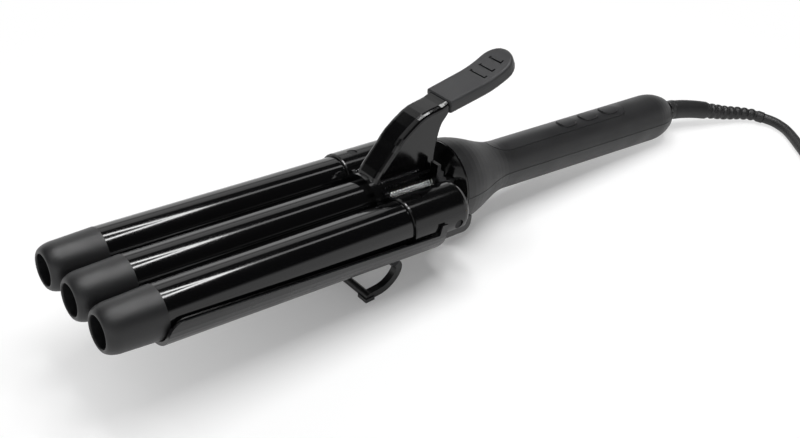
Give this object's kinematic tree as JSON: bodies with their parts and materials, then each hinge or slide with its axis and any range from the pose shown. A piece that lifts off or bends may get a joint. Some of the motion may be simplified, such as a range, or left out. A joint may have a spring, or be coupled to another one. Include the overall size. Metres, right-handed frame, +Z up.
{
  "type": "three-barrel hair waver",
  "caption": "Hair waver with three parallel round barrels that clamp onto a troughed plate by a thumb lever, with control buttons, a folding stand and a swivelling cord.",
  "frame": {"origin": "centre of the tool's box at table level, without the cord", "axes": "+X from the barrel tips to the cord end, +Z up off the table, Y across the barrels with the left barrel at -Y; the tool rests on its folded-out stand and the handle's end, pitched 5.3 degrees"},
  "size_m": [0.5326, 0.2261, 0.1002],
  "materials": {
    "barrel": "gloss black baked coating",
    "end_cap": "matte heat-proof",
    "spreader": "as extruded",
    "ceramic": "ceramic white",
    "gloss_black": "gloss",
    "soft_grip": "soft touch",
    "pad_hard": "satin",
    "plate": "gloss black coating",
    "cover": "satin gloss",
    "frame": "glass-filled nylon",
    "steel": "satin",
    "chrome": "polished",
    "handle": "soft touch",
    "panel": "gloss",
    "button": "satin",
    "board": "solder mask",
    "brass": "plain",
    "cord": "matte",
    "stand": "satin"
  },
  "bodies": {
    "handle": {"clamp_plate": "plate", "plate_cover": "cover", "hinge_frame": "frame", "hinge_pins": "steel", "neck_dome": "gloss_black", "spring_bracket": "steel", "handle_top_shell": "handle", "handle_bottom_shell": "handle", "end_ring": "gloss_black", "top_panel": "panel", "control_board": "board", "tact_switches": "steel", "handle_screws": "steel", "contact_leads": "brass", "stand_pins": "steel", "cord_boot": "cord", "strain_relief": "cord", "cord": "cord", "cord_coil": "cord", "cord_tail": "cord", "plug_body": "cord", "plug_pins": "brass"},
    "jaw": {"barrel_left": "barrel", "barrel_middle": "barrel", "barrel_right": "barrel", "end_cap_left": "end_cap", "end_cap_middle": "end_cap", "end_cap_right": "end_cap", "heat_spreaders": "spreader", "heater_plates": "ceramic", "jaw_carrier": "gloss_black", "collar_screws": "steel", "lever": "gloss_black", "pad_base": "pad_hard", "pad_grip": "soft_grip", "jaw_spring_left": "chrome", "jaw_spring_right": "chrome"},
    "stand_leg": {"stand": "stand"},
    "key_front": {"button_front": "button"},
    "key_middle": {"button_middle": "button"},
    "key_rear": {"button_rear": "button"},
    "swivel": {"swivel_bush": "gloss_black", "slip_rings": "brass"}
  },
  "joints": [
    {"name": "jaw_hinge", "type": "hinge", "parent": "handle", "child": "jaw", "pos_m": [-0.01659, 0, 0.0351], "axis": [0, 1, 0], "range_deg": [0, 22], "stiffness_Nm_per_rad": 0.25, "springref_deg": -34.38, "deforming": ["jaw_spring_left", "jaw_spring_right"]},
    {"name": "stand_fold", "type": "hinge", "parent": "handle", "child": "stand_leg", "pos_m": [-0.04908, 0, 0.01833], "axis": [0, 1, 0], "range_deg": [0, 52]},
    {"name": "button_front_press", "type": "slide", "parent": "handle", "child": "key_front", "axis": [-0.0922, 0, -0.9957], "range_m": [0, 0.0008], "stiffness_N_per_m": 1500, "springref_m": -0.0007},
    {"name": "button_middle_press", "type": "slide", "parent": "handle", "child": "key_middle", "axis": [-0.0922, 0, -0.9957], "range_m": [0, 0.0008], "stiffness_N_per_m": 1500, "springref_m": -0.0007},
    {"name": "button_rear_press", "type": "slide", "parent": "handle", "child": "key_rear", "axis": [-0.0922, 0, -0.9957], "range_m": [0, 0.0008], "stiffness_N_per_m": 1500, "springref_m": -0.0007},
    {"name": "cord_swivel", "type": "hinge", "parent": "handle", "child": "swivel", "pos_m": [0.19738, 0, 0.01407], "axis": [0.9957, 0, -0.0922], "continuous": true}
  ]
}
